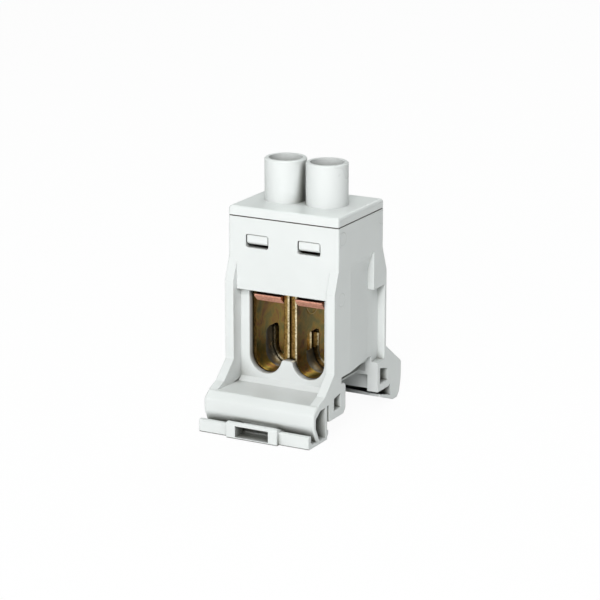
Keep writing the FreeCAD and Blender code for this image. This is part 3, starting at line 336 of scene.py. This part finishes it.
def rolled_copper():
    """Bare rolled copper: fine lines along the strip, matt and lighter where it was cut."""
    made, tree = new_material("rolled_copper")
    coords = add(tree, "TexCoord")
    place = coords.outputs["Object"]
    facing = add(tree, "SeparateXYZ", Vector=coords.outputs["Normal"]).outputs["Y"]

    patches = add(tree, "TexNoise", {"Scale": repeats(5.55), "Detail": 3.0}, Vector=place)
    tone = add(tree, "ValToRGB", {"stops": [(0.3, "#a8695a"), (0.55, "#c48874"),
                                            (0.75, "#b47660")]}, Fac=patches)
    crumbs = add(tree, "TexNoise", {"Scale": repeats(0.455), "Detail": 3.0}, Vector=place)
    cut = add(tree, "ValToRGB", {"stops": [(0.3, "#c98a72"), (0.7, "#f0b49c")]}, Fac=crumbs)
    is_cut = add(tree, "Math", {"operation": "LESS_THAN", 1: -0.3}, i0=facing)
    colour = add(tree, "MixRGB", Fac=is_cut, Color1=tone, Color2=cut)

    along_strip = (repeats(0.333), repeats(8.33), repeats(0.333))
    stretch = add(tree, "Mapping", {"Scale": along_strip}, Vector=place)
    lines = add(tree, "TexNoise", {"Scale": 1.0, "Detail": 2.0}, Vector=stretch)
    rounded = add(tree, "Bevel", {"samples": 6, "Radius": 0.12 * MM})
    rolled = add(tree, "Bump", {"Strength": 0.2, "Distance": 0.02 * MM}, Height=lines,
                 Normal=rounded)
    gloss = add(tree, "ValToRGB", {"stops": [(0.3, 0.30), (0.7, 0.42)]}, Fac=lines)
    matt = add(tree, "Mix", {"data_type": "FLOAT", 3: 0.6}, i0=is_cut, i2=gloss)
    metal = add(tree, "MapRange", {1: 0.0, 2: 1.0, 3: 1.0, 4: 0.35}, Value=is_cut)
    shader = add(tree, "BsdfPrincipled", Base_Color=colour, Roughness=matt, Metallic=metal,
                 Normal=rolled)
    add(tree, "OutputMaterial", Surface=shader)
    return made


def thread_ridge(tree, place, point, centre_x):
    """Height of the screw thread: one ridge a turn, climbing by its pitch."""
    moved = add(tree, "VectorMath", {"operation": "SUBTRACT", 1: (centre_x, CENTRE_Y, 0.0)},
                i0=place)
    flat = add(tree, "SeparateXYZ", Vector=moved)
    angle = add(tree, "Math", {"operation": "ARCTAN2"}, i0=flat.outputs["Y"],
                i1=flat.outputs["X"])
    share = add(tree, "Math", {"operation": "DIVIDE", 1: 2 * math.pi}, i0=angle)
    turns = add(tree, "Math", {"operation": "DIVIDE", 1: THREAD_PITCH}, i0=point.outputs["Z"])
    phase = add(tree, "Math", {"operation": "SUBTRACT"}, i0=turns, i1=share)
    ridge = add(tree, "Math", {"operation": "PINGPONG", 1: 0.5}, i0=phase)
    return add(tree, "Math", {"operation": "MULTIPLY"}, i0=ridge,
               i1=between(tree, point.outputs["Z"], THREAD_LOW_Z, THREAD_TOP_Z))


def zinc_plated_steel(name, centre_x):
    """Turned and zinc plated screw steel: fine turning rings, a rolled thread on the shank."""
    made, tree = new_material(name)
    place = add(tree, "TexCoord").outputs["Object"]
    point = add(tree, "SeparateXYZ", Vector=place)
    patches = add(tree, "TexNoise", {"Scale": repeats(3.33), "Detail": 3.0}, Vector=place)
    tone = add(tree, "ValToRGB", {"stops": [(0.3, "#a9a79f"), (0.7, "#c4c2ba")]}, Fac=patches)
    around_axis = (repeats(16.7), repeats(16.7), repeats(0.2))
    stretch = add(tree, "Mapping", {"Scale": around_axis}, Vector=place)
    rings = add(tree, "TexNoise", {"Scale": 1.0, "Detail": 1.0}, Vector=stretch)
    fine = add(tree, "Bump", {"Strength": 0.2, "Distance": 0.02 * MM}, Height=rings)
    thread = add(tree, "Bump", {"Strength": 1.0, "Distance": 0.6 * MM},
                 Height=thread_ridge(tree, place, point, centre_x), Normal=fine)
    gloss = add(tree, "ValToRGB", {"stops": [(0.3, 0.26), (0.7, 0.36)]}, Fac=patches)
    shader = add(tree, "BsdfPrincipled", {"Metallic": 1.0}, Base_Color=tone, Roughness=gloss,
                 Normal=thread)
    add(tree, "OutputMaterial", Surface=shader)
    return made


def dress(node, made):
    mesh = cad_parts[node].data
    mesh.materials.clear()
    mesh.materials.append(made)


def dress_all():
    dress("housing",
          moulded_polyamide("moulded_polyamide_housing", "#dadddc", "#d4d7d6", 0.22))
    dress("cover", moulded_polyamide("moulded_polyamide_cover", "#dcdfde", "#d7dad9", 0.15))
    dress("contact_bar", rolled_copper())
    for side, centre_x, turned_round in (("left", -CLAMP_X, False), ("right", CLAMP_X, True)):
        dress("clamp_cage_" + side,
              yellow_passivated_steel("yellow_passivated_steel_" + side, centre_x,
                                      turned_round))
        dress("clamp_screw_" + side, zinc_plated_steel("zinc_plated_steel_" + side, centre_x))


def shelf_skin(side, sign, made):
    """Thin skin of the shelf over the core that is taken into each end of the foot."""
    points = [(sign * x * MM, y * MM, z * MM) for x in SKIN_X_MM
              for y, z in SKIN_PROFILE_YZ_MM]
    count = len(SKIN_PROFILE_YZ_MM)
    faces = [tuple(range(count)), tuple(range(2 * count - 1, count - 1, -1))]
    for i in range(count):
        after = (i + 1) % count
        faces.append((i, i + count, after + count, after))
    mesh = bpy.data.meshes.new("shelf_skin")
    mesh.from_pydata(points, [], faces)
    shape = bmesh.new()
    shape.from_mesh(mesh)
    bmesh.ops.recalc_face_normals(shape, faces=shape.faces)
    shape.to_mesh(mesh)
    shape.free()
    mesh.materials.append(made)
    skin = bpy.data.objects.new("shelf_skin_" + side, mesh)
    bpy.context.scene.collection.objects.link(skin)
    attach(skin, "terminal")


def shelf_skins():
    made = moulded_polyamide("moulded_polyamide_skin", "#dadddc", "#d4d7d6", 0.0)
    shelf_skin("left", -1, made)
    shelf_skin("right", 1, made)


def make_floor():
    """White paper that shows as white to the camera and keeps a soft shadow of the part."""
    bpy.ops.mesh.primitive_plane_add(size=6.0, location=(0, 0, -0.1 * MM))
    floor = bpy.context.object
    floor.name = "studio_floor"
    made, tree = new_material("white_paper_floor")
    place = add(tree, "TexCoord").outputs["Object"]
    fibre = add(tree, "TexNoise", {"Scale": repeats(25.0), "Detail": 2.0}, Vector=place)
    tone = add(tree, "ValToRGB", {"stops": [(0.3, "#f3f3f3"), (0.7, "#f6f6f6")]}, Fac=fibre)
    paper = add(tree, "BsdfPrincipled", {"Roughness": 0.9, "IOR": 1.45}, Base_Color=tone)
    white = add(tree, "Emission", {"Color": WHITE, "Strength": 1.0})
    path = add(tree, "LightPath")
    seen = add(tree, "Math", {"operation": "MULTIPLY", 1: 0.95},
               i0=path.outputs["Is Camera Ray"])
    mix = add(tree, "MixShader", Fac=seen, i1=paper, i2=white)
    add(tree, "OutputMaterial", Surface=mix)
    floor.data.materials.append(made)


def make_world():
    """A dim room that looks white to the camera, and pale in gloss and metal."""
    world = bpy.data.worlds.new("studio_world")
    bpy.context.scene.world = world
    world.use_nodes = True
    tree = world.node_tree
    tree.nodes.clear()
    path = add(tree, "LightPath")
    seen = add(tree, "Math", {"operation": "MAXIMUM"}, i0=path.outputs["Is Camera Ray"],
               i1=path.outputs["Is Transmission Ray"])
    mirrored = add(tree, "Math", {"operation": "MULTIPLY", 1: 0.25},
                   i0=path.outputs["Is Glossy Ray"])
    seen = add(tree, "Math", {"operation": "MAXIMUM"}, i0=seen, i1=mirrored)
    dim = add(tree, "Background", {"Color": (0.97, 1.0, 0.985, 1.0), "Strength": 0.06})
    white = add(tree, "Background", {"Color": WHITE, "Strength": 1.0})
    mix = add(tree, "MixShader", Fac=seen, i1=dim, i2=white)
    add(tree, "OutputWorld", Surface=mix)


def make_lights():
    for name, place, width, watts, colour in LAMPS:
        lamp = bpy.data.lights.new(name, "AREA")
        lamp.shape = "SQUARE"
        lamp.size = width
        lamp.energy = watts
        lamp.color = colour
        holder = bpy.data.objects.new(name, lamp)
        bpy.context.scene.collection.objects.link(holder)
        holder.location = place
        away = Vector(place) - Vector(LAMP_AIM)
        holder.rotation_euler = away.to_track_quat("Z", "Y").to_euler()


def make_camera():
    lens = bpy.data.cameras.new("photo_camera")
    lens.sensor_fit = "HORIZONTAL"
    lens.sensor_width = SENSOR_MM
    lens.lens = LENS_MM
    lens.clip_start = 0.01
    lens.clip_end = 50.0
    holder = bpy.data.objects.new("photo_camera", lens)
    bpy.context.scene.collection.objects.link(holder)
    ahead = Vector((-math.sin(VIEW_AZIMUTH) * math.cos(VIEW_ELEVATION),
                    math.cos(VIEW_AZIMUTH) * math.cos(VIEW_ELEVATION),
                    -math.sin(VIEW_ELEVATION)))
    right = Vector((math.cos(VIEW_AZIMUTH), math.sin(VIEW_AZIMUTH), 0))
    up = right.cross(ahead)
    aim = Vector((0, CENTRE_Y, VIEW_AIM_Z)) - right * VIEW_AIM_LEFT
    turn = Matrix((right, up, -ahead)).transposed().to_4x4()
    holder.matrix_world = Matrix.Translation(aim - ahead * VIEW_DISTANCE) @ turn
    bpy.context.scene.camera = holder


dress_all()
shelf_skins()
make_floor()
make_world()
make_lights()
make_camera()
bpy.context.scene.view_settings.view_transform = "Standard"
